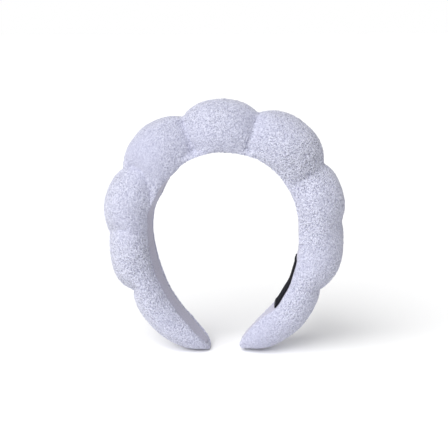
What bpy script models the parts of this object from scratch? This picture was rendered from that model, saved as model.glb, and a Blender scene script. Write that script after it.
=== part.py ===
"""Spa headband: a sprung hoop, nine sponge blocks and a gathered terry cover.

Frame: metres, +Z up, tips down, the hoop in the XZ plane, -Y the front.
The origin is the middle of the inner face at the crown, where a head touches.

Places on the band are given as (run, rise, side):
  run   distance along the inner face from the crown, negative to the left (-X)
  rise  height above the inner face, outwards
  side  distance from the middle plane, the same as world Y
"""
import math

import bmesh
import bpy
from mathutils import Vector

# The inner face: a crown arc and, on each side, a flatter arm arc
CROWN_RADIUS = 0.055
CROWN_ANGLE = math.radians(85.0)
ARM_RADIUS = 0.109
TIP_RUN = 0.1965

# Gathers, as runs from the crown; hand stuffing leaves the two sides a little unlike
LEFT_GATHERS = (0.0205, 0.060, 0.094, 0.1325)
RIGHT_GATHERS = (0.0165, 0.0565, 0.087, 0.130)

# Rise of each puff, and the rise that each gather pulls it down to, crown to tip
CROWN_RISE = 0.0365
LEFT_RISES = (0.037, 0.036, 0.033, 0.027)
RIGHT_RISES = (0.039, 0.0355, 0.0335, 0.027)
LEFT_GATHER_RISES = (0.029, 0.030, 0.0315, 0.024)
RIGHT_GATHER_RISES = (0.030, 0.0295, 0.031, 0.025)
TIP_RISE = 0.009
PUFF_FULLNESS = 2.4      # exponent of the crest curve between two gathers
TIP_LEAN = 0.5           # exponent that moves a tip puff's crest towards its gather
GATHER_WAIST = 0.10      # share of its width that a puff loses at a gather

# Half widths of the band at these runs: widest part of the puffs, and inner face
BAND_STATIONS = (0.0, 0.090, 0.150, TIP_RUN)
PUFF_HALF_WIDTHS = (0.0225, 0.021, 0.0175, 0.0125)
FACE_HALF_WIDTHS = (0.0170, 0.0160, 0.0145, 0.0100)

# The rounded end of each tip, which closes at NOSE_RISE
NOSE_LENGTH = 0.0225
NOSE_RISE = 0.0065
NOSE_BLUNTNESS = 2.6

# Layers, from the wearer outwards
CLEARANCE = 0.00035
LINING_THICKNESS = 0.0010
HOOP_THICKNESS = 0.0018
HOOP_HALF_WIDTH = 0.0060
HOOP_HALF_RUN = 0.176
COVER_THICKNESS = 0.0015
SPONGE_INSET = 0.0028
SPONGE_TIP_GAP = 0.009
SPONGE_END_GAP = 0.0006

# Flexing: the hoop bends at the two gathers beside the crown puff
OPEN_ANGLE = math.radians(18.0)
OPEN_ALLOWANCE = math.radians(3.0)
PLAIN_GAP_ANGLE = math.radians(3.0)

# Threads
GATHER_THREAD_RADIUS = 0.0005
GATHER_THREAD_LIFT = 0.0014
SEAM_THREAD_RADIUS = 0.00045
SEAM_ROOM = 0.0032       # from the cover's edge in to the lining's edge
SEAM_SHARE = 0.7         # where the seam thread lies in that room
FACE_HALF_RUN = TIP_RUN - 0.0045

# Label, inside the right arm
LABEL_RUNS = (0.114, 0.1545)
LABEL_HALF_WIDTH = 0.0105
LABEL_THICKNESS = 0.0006
LABEL_STITCH_RADIUS = 0.00025
LABEL_STITCH_MARGIN = 0.002

# Colours
LAVENDER = (0.58, 0.58, 0.72)
LAVENDER_THREAD = (0.50, 0.50, 0.64)
SPONGE_WHITE = (0.82, 0.81, 0.78)
HOOP_CLEAR = (0.72, 0.74, 0.76)
LABEL_BLACK = (0.016, 0.016, 0.022)

# Places that follow from the sizes above
CROWN_RUN = CROWN_RADIUS * CROWN_ANGLE
HOOP_RISE = LINING_THICKNESS + CLEARANCE
HINGE_RISE = HOOP_RISE + HOOP_THICKNESS / 2
SPONGE_RISE = HOOP_RISE + HOOP_THICKNESS + CLEARANCE

# Mesh density: sections along a puff and points across it
SHELL_STEPS = (0.0, 0.08, 0.2, 0.35, 0.5, 0.65, 0.8, 0.92)
NOSE_STEPS = (0.0, 0.25, 0.5, 0.7, 0.87, 0.96)
SPONGE_STEPS = (0.0, 0.12, 0.3, 0.5, 0.7, 0.88, 1.0)
SHELL_ARCH_STEPS = 14
SPONGE_ARCH_STEPS = 12


# ---------------------------------------------------------------- geometry

def band_point(run, rise, side):
    """World point at a place on the band."""
    hand = -1.0 if run < 0 else 1.0
    reach = abs(run)
    centre = Vector((0.0, 0.0, -CROWN_RADIUS))
    if reach <= CROWN_RUN:
        angle = reach / CROWN_RADIUS
        radius = CROWN_RADIUS
    else:
        # The arm arc leaves the crown arc without a corner
        angle = CROWN_ANGLE + (reach - CROWN_RUN) / ARM_RADIUS
        radius = ARM_RADIUS
        away = Vector((math.sin(CROWN_ANGLE), 0.0, math.cos(CROWN_ANGLE)))
        centre -= away * (ARM_RADIUS - CROWN_RADIUS)
    out = radius + rise
    x = centre.x + out * math.sin(angle)
    z = centre.z + out * math.cos(angle)
    return Vector((hand * x, side, z))


def at_station(run, values):
    """Value at a run, from the values at the band stations."""
    reach = min(abs(run), TIP_RUN)
    for near, far, first, last in zip(BAND_STATIONS, BAND_STATIONS[1:], values, values[1:]):
        if reach <= far:
            break
    return first + (last - first) * (reach - near) / (far - near)


def puff_spans():
    """Each puff, left tip to right tip, as (start, end, rise, start rise, end rise)."""
    runs = [-TIP_RUN]
    runs += [-gather for gather in reversed(LEFT_GATHERS)]
    runs += list(RIGHT_GATHERS) + [TIP_RUN]
    tops = list(reversed(LEFT_RISES)) + [CROWN_RISE] + list(RIGHT_RISES)
    lows = [TIP_RISE] + list(reversed(LEFT_GATHER_RISES))
    lows += list(RIGHT_GATHER_RISES) + [TIP_RISE]
    return list(zip(runs, runs[1:], tops, lows, lows[1:]))


PUFFS = puff_spans()


def swell(share, start, end):
    """0 at a gather, 1 at the crest of a puff."""
    if start == -TIP_RUN:
        share = 1.0 - (1.0 - share) ** TIP_LEAN
    elif end == TIP_RUN:
        share = share ** TIP_LEAN
    return 1.0 - abs(2.0 * share - 1.0) ** PUFF_FULLNESS


def nose(run):
    """Share of the section left near a tip: 1 along the band, 0 at the very end."""
    past = max(0.0, abs(run) - (TIP_RUN - NOSE_LENGTH)) / NOSE_LENGTH
    return max(0.0, 1.0 - past ** NOSE_BLUNTNESS) ** (1.0 / NOSE_BLUNTNESS)


def section(run):
    """Rise, widest half width and face half width of the cover at a run."""
    for start, end, top, low_start, low_end in PUFFS:
        if run <= end:
            break
    share = (run - start) / (end - start)
    low = low_start + (low_end - low_start) * share
    fullness = swell(share, start, end)
    height = low + (top - low) * fullness
    waist = 1.0 - GATHER_WAIST * (1.0 - fullness)
    return height, at_station(run, PUFF_HALF_WIDTHS) * waist, at_station(run, FACE_HALF_WIDTHS)


def arch(run, steps, inset=0.0, floor=0.0):
    """(rise, side) of the section from its front edge over the top to the back.

    The section is an ellipse cut off by the inner face.  inset shrinks it on
    all sides, and floor is the rise at which it is cut.
    """
    height, widest, face = section(run)
    tuck = math.acos(min(1.0, face / widest))
    tall = height / (1.0 + math.sin(tuck))
    middle = tall * math.sin(tuck)
    tall -= inset
    widest -= inset
    tuck = math.asin(max(-1.0, min(1.0, (middle - floor) / tall)))
    left = nose(run)
    places = []
    for step in range(steps + 1):
        angle = -tuck + (math.pi + 2.0 * tuck) * step / steps
        rise = middle + tall * math.sin(angle)
        side = -widest * math.cos(angle)
        places.append((NOSE_RISE + (rise - NOSE_RISE) * left, side * left))
    return places


def seam_place(run, share):
    """(rise, half width) at a share of the seam's room inside the cover's edge."""
    rise, side = arch(run, 1)[0]
    return rise, abs(side) - share * SEAM_ROOM


def even_runs(first, last, pitch):
    count = max(2, round((last - first) / pitch))
    return [first + (last - first) * index / count for index in range(count + 1)]


def shell_runs():
    """Runs of the cover's sections, closer beside each gather and in each nose."""
    body_end = TIP_RUN - NOSE_LENGTH
    body = []
    for start, end, *_ in PUFFS:
        body += [start + (end - start) * share for share in SHELL_STEPS]
    body = [run for run in body if abs(run) < body_end - 0.002]
    ends = [body_end + NOSE_LENGTH * share for share in NOSE_STEPS] + [TIP_RUN]
    return [-run for run in reversed(ends)] + body + ends


def face_runs(last):
    """Runs of the pieces that lie along the inner face, closer near the tips."""
    ends = [last - 0.007, last - 0.003, last]
    middle = even_runs(-last + 0.012, last - 0.012, 0.007)
    return [-run for run in reversed(ends)] + middle + ends


def sponge_gap(run, rise):
    """Room left free beside a sponge block at one of its ends."""
    if abs(run) == TIP_RUN:
        return SPONGE_TIP_GAP
    hinged = run in (-LEFT_GATHERS[0], RIGHT_GATHERS[0])
    angle = (OPEN_ANGLE + OPEN_ALLOWANCE) / 2.0 if hinged else PLAIN_GAP_ANGLE
    return SPONGE_END_GAP + math.tan(angle) * rise


# -------------------------------------------------------- building with Blender

def clear_scene():
    for obj in list(bpy.data.objects):
        bpy.data.objects.remove(obj, do_unlink=True)


def new_material(name, colour, roughness):
    material = bpy.data.materials.new(name)
    material.use_nodes = True
    shader = material.node_tree.nodes["Principled BSDF"]
    shader.inputs["Base Color"].default_value = (*colour, 1.0)
    shader.inputs["Roughness"].default_value = roughness
    shader.inputs["Metallic"].default_value = 0.0
    material.diffuse_color = (*colour, 1.0)
    return material


def add_anchor(name, place):
    """An empty on a body's joint axis, which the body's pieces hang from."""
    anchor = bpy.data.objects.new(name, None)
    anchor.location = place
    anchor.empty_display_size = 0.01
    COLLECTION.objects.link(anchor)
    return anchor


def add_piece(name, data, anchor, colour, roughness):
    """Link a piece under its anchor, with its own material."""
    piece = bpy.data.objects.new(name, data)
    data.materials.append(new_material(name + "_finish", colour, roughness))
    COLLECTION.objects.link(piece)
    piece.parent = anchor
    return piece


def loft(name, rows, anchor, closed=False, poles=False):
    """Mesh through rows of world points, in the anchor's own frame.

    closed joins each row into a ring and fans the first and last ring shut.
    poles shrinks the first and last row to a point.
    """
    shape = bmesh.new()
    built = []
    for index, row in enumerate(rows):
        if poles and index in (0, len(rows) - 1):
            built.append([shape.verts.new(row[0] - anchor.location)] * len(row))
        else:
            built.append([shape.verts.new(point - anchor.location) for point in row])
    for row, following in zip(built, built[1:]):
        for index in range(len(row) if closed else len(row) - 1):
            after = (index + 1) % len(row)
            corners = (row[index], row[after], following[after], following[index])
            shape.faces.new(tuple(dict.fromkeys(corners)))
    if closed:
        for row in (built[0], built[-1]):
            hub = shape.verts.new(sum((vert.co for vert in row), Vector()) / len(row))
            for index, vert in enumerate(row):
                shape.faces.new((vert, row[(index + 1) % len(row)], hub))
    bmesh.ops.recalc_face_normals(shape, faces=shape.faces)
    mesh = bpy.data.meshes.new(name)
    shape.to_mesh(mesh)
    shape.free()
    return mesh


def face_outwards(mesh, outward):
    """Turn an open mesh so that the face furthest along outward looks that way."""
    furthest = max(mesh.polygons, key=lambda face: face.center.dot(outward))
    if furthest.normal.dot(outward) < 0:
        mesh.flip_normals()


def thicken(piece, thickness):
    """Give an open surface its thickness, against its normals."""
    shell = piece.modifiers.new("Thickness", "SOLIDIFY")
    shell.thickness = thickness
    shell.offset = -1.0
    shell.use_even_offset = True


def add_strip(name, runs, rise_at, half_width_at, thickness, anchor, colour, roughness):
    """A flat strip along the band.  rise_at gives its outer side."""
    rows = []
    for run in runs:
        half = half_width_at(run)
        rows.append([band_point(run, rise_at(run), side) for side in (-half, 0.0, half)])
    mesh = loft(name, rows, anchor)
    face_outwards(mesh, rows[len(rows) // 2][1] - band_point(0.0, -CROWN_RADIUS, 0.0))
    piece = add_piece(name, mesh, anchor, colour, roughness)
    thicken(piece, thickness)


def add_thread(name, points, radius, anchor, colour):
    """A round thread through world points."""
    curve = bpy.data.curves.new(name, "CURVE")
    curve.dimensions = "3D"
    curve.bevel_depth = radius
    curve.bevel_resolution = 2
    curve.use_fill_caps = True
    spline = curve.splines.new("POLY")
    spline.points.add(len(points) - 1)
    for knot, point in zip(spline.points, points):
        knot.co = (*(point - anchor.location), 1.0)
    add_piece(name, curve, anchor, colour, 0.6)


# ------------------------------------------------------------------ pieces

def make_hoop(anchor):
    """The sprung plastic hoop, its ends narrowed to round corners."""
    def half_width(run):
        into_corner = max(0.0, 1.0 - (HOOP_HALF_RUN - abs(run)) / HOOP_HALF_WIDTH)
        return HOOP_HALF_WIDTH * math.sqrt(max(0.15, 1.0 - into_corner ** 2))

    def rise(run):
        return HOOP_RISE + HOOP_THICKNESS

    ends = [HOOP_HALF_RUN - bend for bend in (0.006, 0.003, 0.001, 0.0)]
    middle = even_runs(-HOOP_HALF_RUN + 0.014, HOOP_HALF_RUN - 0.014, 0.008)
    runs = [-run for run in reversed(ends)] + middle + ends
    add_strip("hoop_band", runs, rise, half_width, HOOP_THICKNESS, anchor, HOOP_CLEAR, 0.35)


def make_cover(anchor):
    """The terry cover: one gathered trough, open along the inner face."""
    rows = []
    for run in shell_runs():
        places = arch(run, SHELL_ARCH_STEPS)
        rows.append([band_point(run, rise, side) for rise, side in places])
    mesh = loft("terry_cover", rows, anchor, poles=True)
    face_outwards(mesh, Vector((0.0, 0.0, 1.0)))
    mesh.shade_smooth()
    cover = add_piece("terry_cover", mesh, anchor, LAVENDER, 0.95)
    thicken(cover, COVER_THICKNESS)


def make_lining(anchor):
    """The lining over the inner face, inside the two edge seams."""
    def half_width(run):
        return seam_place(run, 1.0)[1]

    def rise(run):
        return seam_place(run, 1.0)[0] + LINING_THICKNESS

    runs = face_runs(FACE_HALF_RUN)
    add_strip("inner_lining", runs, rise, half_width, LINING_THICKNESS, anchor, LAVENDER, 0.95)


def make_seam(name, hand, anchor):
    """The thread that joins cover and lining along one edge of the inner face."""
    points = []
    for run in face_runs(FACE_HALF_RUN):
        rise, half = seam_place(run, SEAM_SHARE)
        points.append(band_point(run, rise + LINING_THICKNESS / 2, hand * half))
    add_thread(name, points, SEAM_THREAD_RADIUS, anchor, LAVENDER_THREAD)


def make_sponge(name, start, end, anchor):
    """One sponge block between two gathers, with a wedge free at each end."""
    body_end = TIP_RUN - SPONGE_TIP_GAP
    rows = []
    for share in SPONGE_STEPS:
        run = start + (end - start) * share
        run = max(-body_end, min(body_end, run))
        row = []
        for rise, side in arch(run, SPONGE_ARCH_STEPS, SPONGE_INSET, SPONGE_RISE):
            rise = max(rise, SPONGE_RISE)
            first = start + sponge_gap(start, rise)
            last = end - sponge_gap(end, rise)
            row.append(band_point(first + (last - first) * share, rise, side))
        rows.append(row)
    add_piece(name, loft(name, rows, anchor, closed=True), anchor, SPONGE_WHITE, 0.9)


def make_gather_thread(name, run, anchor):
    """The thread that pulls one gather in, over the cover from edge to edge."""
    height, widest, _ = section(run)
    points = []
    for rise, side in arch(run, SHELL_ARCH_STEPS)[1:-1]:
        lift = Vector(((rise - 0.4 * height) / height, 0.6 * side / widest))
        lift = lift.normalized() * GATHER_THREAD_LIFT
        points.append(band_point(run, rise + lift.x, side + lift.y))
    add_thread(name, points, GATHER_THREAD_RADIUS, anchor, LAVENDER_THREAD)


def make_label(anchor):
    """The blank woven label inside the right arm, with a stitch row at each end."""
    first, last = LABEL_RUNS
    add_strip("woven_label", even_runs(first, last, 0.0072), lambda run: -CLEARANCE,
              lambda run: LABEL_HALF_WIDTH, LABEL_THICKNESS, anchor, LABEL_BLACK, 0.7)
    rise = -2 * CLEARANCE - LABEL_THICKNESS - LABEL_STITCH_RADIUS
    half = LABEL_HALF_WIDTH - LABEL_STITCH_MARGIN
    for name, run in (("label_stitch_upper", first + LABEL_STITCH_MARGIN),
                      ("label_stitch_lower", last - LABEL_STITCH_MARGIN)):
        points = [band_point(run, rise, side) for side in (-half, 0.0, half)]
        add_thread(name, points, LABEL_STITCH_RADIUS, anchor, LABEL_BLACK)


def make_headband():
    crown = add_anchor("crown_frame", Vector((0.0, 0.0, 0.0)))
    left = add_anchor("left_arm_hinge", band_point(-LEFT_GATHERS[0], HINGE_RISE, 0.0))
    right = add_anchor("right_arm_hinge", band_point(RIGHT_GATHERS[0], HINGE_RISE, 0.0))

    make_hoop(crown)
    make_cover(crown)
    make_lining(crown)
    make_seam("edge_seam_front", -1.0, crown)
    make_seam("edge_seam_back", 1.0, crown)
    make_label(right)

    for place, (start, end, *_) in enumerate(PUFFS, start=-len(LEFT_GATHERS)):
        if place == 0:
            make_sponge("sponge_crown", start, end, crown)
        elif place < 0:
            make_sponge(f"sponge_left_{-place}", start, end, left)
        else:
            make_sponge(f"sponge_right_{place}", start, end, right)

    for hand, word, gathers, arm in ((-1.0, "left", LEFT_GATHERS, left),
                                     (1.0, "right", RIGHT_GATHERS, right)):
        for number, gather in enumerate(gathers, start=1):
            anchor = crown if number == 1 else arm
            make_gather_thread(f"gather_thread_{word}_{number}", hand * gather, anchor)


clear_scene()
COLLECTION = bpy.data.collections.new("spa_headband")
bpy.context.scene.collection.children.link(COLLECTION)
make_headband()
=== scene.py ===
"""Spa headband: puffy terry cover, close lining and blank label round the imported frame.

Places on the band are given as in part.py, in metres:
  run   distance along the inner face from the crown, negative to the left (-X)
  rise  height above the inner face, outwards
  side  distance from the middle plane, the same as world Y
"""
import math

import bmesh
import bpy
import numpy as np
from mathutils import Matrix, Vector, noise


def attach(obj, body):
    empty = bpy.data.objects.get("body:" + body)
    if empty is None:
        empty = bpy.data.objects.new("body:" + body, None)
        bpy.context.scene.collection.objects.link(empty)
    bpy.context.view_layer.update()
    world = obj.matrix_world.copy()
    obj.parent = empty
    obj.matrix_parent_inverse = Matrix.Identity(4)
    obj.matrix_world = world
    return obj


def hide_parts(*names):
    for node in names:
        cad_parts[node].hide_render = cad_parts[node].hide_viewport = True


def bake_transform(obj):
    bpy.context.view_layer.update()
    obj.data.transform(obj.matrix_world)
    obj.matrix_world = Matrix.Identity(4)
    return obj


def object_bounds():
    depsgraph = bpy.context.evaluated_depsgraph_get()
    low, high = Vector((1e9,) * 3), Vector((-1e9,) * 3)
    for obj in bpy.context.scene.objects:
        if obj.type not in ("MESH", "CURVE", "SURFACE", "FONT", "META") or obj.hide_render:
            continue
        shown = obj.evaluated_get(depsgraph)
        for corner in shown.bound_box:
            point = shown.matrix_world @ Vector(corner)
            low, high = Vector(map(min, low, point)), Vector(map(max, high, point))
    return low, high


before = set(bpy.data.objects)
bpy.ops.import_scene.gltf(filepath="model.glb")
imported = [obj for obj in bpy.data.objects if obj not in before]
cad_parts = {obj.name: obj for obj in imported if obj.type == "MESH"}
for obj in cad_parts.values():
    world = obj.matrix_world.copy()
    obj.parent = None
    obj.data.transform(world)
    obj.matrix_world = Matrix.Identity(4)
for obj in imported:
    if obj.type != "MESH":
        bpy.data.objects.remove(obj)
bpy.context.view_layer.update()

# ---- the band, as in part.py ----
CROWN_RADIUS = 0.055
CROWN_ANGLE = math.radians(85.0)
ARM_RADIUS = 0.109
TIP_RUN = 0.1965
CROWN_RUN = CROWN_RADIUS * CROWN_ANGLE

LEFT_GATHERS = (0.0205, 0.060, 0.094, 0.1325)
RIGHT_GATHERS = (0.0165, 0.0565, 0.087, 0.130)

CROWN_RISE = 0.0365
LEFT_RISES = (0.037, 0.036, 0.033, 0.027)
RIGHT_RISES = (0.039, 0.0355, 0.0335, 0.027)
LEFT_GATHER_RISES = (0.029, 0.030, 0.0315, 0.024)
RIGHT_GATHER_RISES = (0.030, 0.0295, 0.031, 0.025)
TIP_RISE = 0.009
PUFF_FULLNESS = 2.4
TIP_LEAN = 0.5
TIP_CREST = 0.25  # share of an end puff, from its gather
GATHER_WAIST = 0.10

BAND_STATIONS = (0.0, 0.090, 0.150, TIP_RUN)
PUFF_HALF_WIDTHS = (0.0225, 0.021, 0.0175, 0.0125)
FACE_HALF_WIDTHS = (0.0170, 0.0160, 0.0145, 0.0100)

NOSE_LENGTH = 0.0225
NOSE_RISE = 0.0065
NOSE_BLUNTNESS = 2.6

LINING_THICKNESS = 0.0010
HOOP_RISE = 0.00135
HOOP_THICKNESS = 0.0018
HOOP_HALF_WIDTH = 0.0060
HOOP_HALF_RUN = 0.176
SPONGE_RISE = 0.0035
SPONGE_INSET = 0.0028
SPONGE_TIP_GAP = 0.009
SPONGE_END_GAP = 0.0006
HINGE_GAP_ANGLE = math.radians(10.5)
PLAIN_GAP_ANGLE = math.radians(3.0)
FACE_HALF_RUN = TIP_RUN - 0.0045
LABEL_RUNS = (0.114, 0.1545)
LABEL_HALF_WIDTH = 0.0105

# Hand stuffing leaves the band a little uneven, by up to 4 mm.  Near a run, over a
# reach to each side: how far out the inner face lies, how far out the crest lies,
# and the slope by which the inner face turns towards the front
UNEVEN = (
    (-0.190, 0.020, 0.0011, -0.0008, 0.0),
    (-0.160, 0.085, 0.0012, 0.0, 0.070),
    (-0.112, 0.045, 0.0002, 0.0005, 0.070),
    (-0.090, 0.022, 0.0007, 0.0, 0.0),
    (-0.066, 0.026, 0.0002, 0.0, 0.085),
    (-0.054, 0.028, -0.0022, 0.0003, 0.0),
    (0.032, 0.026, 0.0007, 0.0005, 0.0),
    (0.054, 0.012, 0.0, 0.0008, 0.0),
    (0.094, 0.014, 0.0, 0.0008, 0.0),
    (0.118, 0.026, 0.0014, 0.0, -0.010),
    (0.146, 0.022, 0.0012, 0.0, 0.0),
    (0.172, 0.022, -0.0013, 0.0, -0.080),
    (0.186, 0.030, -0.0006, -0.0004, -0.070),
)
UNEVEN_RISE = 0.020  # from here up only the crest's figure counts
UNEVEN_STEEPNESS = 1.6
# The stuffing rolls the edges in where the lower left arm turns: run, reach, how much
FACE_EASE = (-0.116, 0.068, 0.0044)
FACE_STEEPNESS = 1.5

# The two arms flex at the gathers beside the crown puff
ARMS = (("left", -LEFT_GATHERS[0]), ("right", RIGHT_GATHERS[0]))
FLEX_LENGTH = 0.032
FLEX_STEP = 0.001  # over which a hinge's direction is taken


def smooth_step(value):
    value = max(0.0, min(1.0, value))
    return value * value * (3.0 - 2.0 * value)


def nearness(run, middle, reach, steepness=1.0):
    """1 at the middle, 0 beyond the reach.  Steeper is full over a longer stretch."""
    return smooth_step(steepness * (1.0 - abs(run - middle) / reach))


def unevenness(run, rise, side):
    """How far out hand stuffing has moved a place."""
    outwards = max(0.0, min(1.0, rise / UNEVEN_RISE))
    moved = 0.0
    for middle, reach, at_face, at_crest, turn in UNEVEN:
        near = nearness(run, middle, reach, UNEVEN_STEEPNESS)
        at_face -= turn * side
        moved += near * (at_face + (at_crest - at_face) * outwards)
    return moved


def band_point(run, rise, side):
    """World point at a place on the band."""
    rise += unevenness(run, rise, side)
    hand = -1.0 if run < 0 else 1.0
    reach = abs(run)
    centre = Vector((0.0, 0.0, -CROWN_RADIUS))
    if reach <= CROWN_RUN:
        angle = reach / CROWN_RADIUS
        radius = CROWN_RADIUS
    else:
        angle = CROWN_ANGLE + (reach - CROWN_RUN) / ARM_RADIUS
        radius = ARM_RADIUS
        away = Vector((math.sin(CROWN_ANGLE), 0.0, math.cos(CROWN_ANGLE)))
        centre -= away * (ARM_RADIUS - CROWN_RADIUS)
    out = radius + rise
    x = centre.x + out * math.sin(angle)
    z = centre.z + out * math.cos(angle)
    return Vector((hand * x, side, z))


def at_station(run, values):
    """Value at a run, from the values at the band stations."""
    reach = min(abs(run), TIP_RUN)
    for near, far, first, last in zip(BAND_STATIONS, BAND_STATIONS[1:], values, values[1:]):
        if reach <= far:
            break
    return first + (last - first) * (reach - near) / (far - near)


def puff_spans():
    """Each puff, left tip to right tip, as (start, end, rise, start rise, end rise)."""
    runs = [-TIP_RUN]
    runs += [-gather for gather in reversed(LEFT_GATHERS)]
    runs += list(RIGHT_GATHERS) + [TIP_RUN]
    tops = list(reversed(LEFT_RISES)) + [CROWN_RISE] + list(RIGHT_RISES)
    lows = [TIP_RISE] + list(reversed(LEFT_GATHER_RISES))
    lows += list(RIGHT_GATHER_RISES) + [TIP_RISE]
    return list(zip(runs, runs[1:], tops, lows, lows[1:]))


PUFFS = puff_spans()


def swell(share, start, end):
    """0 at a gather, 1 at the crest of a puff."""
    if start == -TIP_RUN:
        share = 1.0 - (1.0 - share) ** TIP_LEAN
    elif end == TIP_RUN:
        share = share ** TIP_LEAN
    return 1.0 - abs(2.0 * share - 1.0) ** PUFF_FULLNESS


def nose(run):
    """Share of the section left near a tip: 1 along the band, 0 at the very end."""
    past = max(0.0, abs(run) - (TIP_RUN - NOSE_LENGTH)) / NOSE_LENGTH
    return max(0.0, 1.0 - past ** NOSE_BLUNTNESS) ** (1.0 / NOSE_BLUNTNESS)


def section(run):
    """Rise, widest half width and face half width of the cover at a run."""
    run = max(-TIP_RUN, min(TIP_RUN, run))
    for start, end, top, low_start, low_end in PUFFS:
        if run <= end:
            break
    share = (run - start) / (end - start)
    low = low_start + (low_end - low_start) * share
    fullness = swell(share, start, end)
    height = low + (top - low) * fullness
    waist = 1.0 - GATHER_WAIST * (1.0 - fullness)
    middle, reach, narrower = FACE_EASE
    face = at_station(run, FACE_HALF_WIDTHS)
    face -= narrower * nearness(run, middle, reach, FACE_STEEPNESS)
    return height, at_station(run, PUFF_HALF_WIDTHS) * waist, face


def let_out_section(run):
    """The section with the gathers beside it let out, as if the puffs ran together."""
    height, _, face = section(run)
    crests = []
    for start, end, top, *_ in PUFFS:
        share = 1.0 - TIP_CREST if start == -TIP_RUN else TIP_CREST if end == TIP_RUN else 0.5
        crests.append((start + (end - start) * share, top))
    if crests[0][0] < run < crests[-1][0]:
        height = max(height, float(np.interp(run, *zip(*crests))))
    return height, at_station(run, PUFF_HALF_WIDTHS), face


def arch(sizes, steps, inset, floor):
    """(rise, side) over the puff, from its front edge to its back edge.

    It lies an inset inside the cover's size, and it ends at the floor's rise.
    """
    height, widest, face = sizes
    tuck = math.acos(min(1.0, face / widest))
    tall = height / (1.0 + math.sin(tuck))
    middle = tall * math.sin(tuck)
    tall -= inset
    widest -= inset
    tuck = math.asin(max(-1.0, min(1.0, (middle - floor) / tall)))
    places = []
    for step in range(steps + 1):
        angle = -tuck + (math.pi + 2.0 * tuck) * step / steps
        places.append((middle + tall * math.sin(angle), -widest * math.cos(angle)))
    return places


def into_nose(run, places):
    """The places of a section, drawn in towards the rounded end of a tip."""
    left = nose(run)
    return [(NOSE_RISE + (rise - NOSE_RISE) * left, side * left) for rise, side in places]


def flex_ends(run):
    """Start and end of the stretch that bends at a hinge gather."""
    step = math.copysign(FLEX_STEP, run)
    before, middle, past = [band_point(run + move, 0.0, 0.0) for move in (-step, 0.0, step)]
    along = (past - before).normalized()
    return middle - along * FLEX_LENGTH / 2, middle + along * FLEX_LENGTH / 2


# ---- building meshes ----

BAKE_TILE = 0.26  # metres of cloth, more than half the band


def spread_runs(start, end, pitch, crowd=0.0):
    """Runs from start to end, crowded towards both ends."""
    count = max(2, round((end - start) / pitch))
    runs = []
    for index in range(count + 1):
        share = index / count
        share -= crowd * math.sin(2.0 * math.pi * share) / (2.0 * math.pi)
        runs.append(start + (end - start) * share)
    return runs


def ring_mesh(name, runs, rings):
    """Closed tube through one ring of (rise, side) places for each run.

    UV map "cloth" holds (run, distance round the ring) in metres.  Faces left
    of the crown have material index 0, the others 1.
    """
    points = np.array([[band_point(run, *place) for place in ring]
                       for run, ring in zip(runs, rings)])
    return tube_mesh(name, points, runs)


def tube_mesh(name, points, runs, poles=False):
    """Closed tube through rings of world points, its ends fanned shut or at poles."""
    rows, around = points.shape[:2]
    steps = np.linalg.norm(np.roll(points, -1, axis=1) - points, axis=2)
    arcs = np.concatenate([np.zeros((rows, 1)), np.cumsum(steps, axis=1)], axis=1)
    arcs -= arcs[:, -1:] / 2.0
    first, last = (1, rows - 1) if poles else (0, rows)
    vertices = [tuple(point) for point in points[first:last].reshape(-1, 3)]
    hubs = len(vertices)
    vertices.append(tuple(points[0].mean(axis=0)))
    vertices.append(tuple(points[-1].mean(axis=0)))
    faces = []
    places = []

    def spot(row, index):
        return runs[row], arcs[row, index]

    for row in range(first, last - 1):
        for index in range(around):
            after = (index + 1) % around
            near = (row - first) * around
            far = near + around
            faces.append((near + index, near + after, far + after, far + index))
            places.append((spot(row, index), spot(row, index + 1),
                           spot(row + 1, index + 1), spot(row + 1, index)))
    for hub, row, end_run, order in ((hubs, first, runs[0], -1),
                                     (hubs + 1, last - 1, runs[-1], 1)):
        near = (row - first) * around
        for index in range(around):
            corners = [near + index, near + (index + 1) % around, hub]
            spots = [spot(row, index), spot(row, index + 1), (end_run, 0.0)]
            faces.append(corners[::order])
            places.append(spots[::order])
    mesh = bpy.data.meshes.new(name)
    mesh.from_pydata(vertices, [], faces)
    uv_map = mesh.uv_layers.new(name="cloth")
    uv_map.data.foreach_set("uv", np.array([s for face in places for s in face]).ravel())
    halves = [0 if sum(s[0] for s in face) < 0 else 1 for face in places]
    mesh.materials.append(None)
    mesh.materials.append(None)
    mesh.polygons.foreach_set("material_index", halves)
    mesh.update()
    turn_outwards(mesh)
    return mesh


def turn_outwards(mesh):
    shape = bmesh.new()
    shape.from_mesh(mesh)
    bmesh.ops.recalc_face_normals(shape, faces=shape.faces)
    shape.to_mesh(mesh)
    shape.free()


def new_piece(name, data):
    piece = bpy.data.objects.new(name, data)
    bpy.context.scene.collection.objects.link(piece)
    return piece


def settle(piece):
    """Apply the piece's modifiers and shape keys."""
    depsgraph = bpy.context.evaluated_depsgraph_get()
    mesh = bpy.data.meshes.new_from_object(piece.evaluated_get(depsgraph), depsgraph=depsgraph)
    mesh.name = piece.name
    piece.modifiers.clear()
    piece.data = mesh


def subdivide(piece, levels):
    finer = piece.modifiers.new("Finer", "SUBSURF")
    finer.levels = levels
    finer.render_levels = levels
    settle(piece)


def read_rows(items, name, width):
    flat = np.empty(len(items) * width, np.float32)
    items.foreach_get(name, flat)
    return flat.reshape(-1, width).astype(float)


def coordinates(mesh):
    return read_rows(mesh.vertices, "co", 3)


def vertex_normals(mesh):
    return read_rows(mesh.vertex_normals, "vector", 3)


def write_points(target, points):
    target.foreach_set("co", points.astype(np.float32).ravel())


def push_out(mesh, distances):
    """Move each vertex along its normal."""
    write_points(mesh.vertices, coordinates(mesh) + vertex_normals(mesh) * distances[:, None])
    mesh.update()


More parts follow.
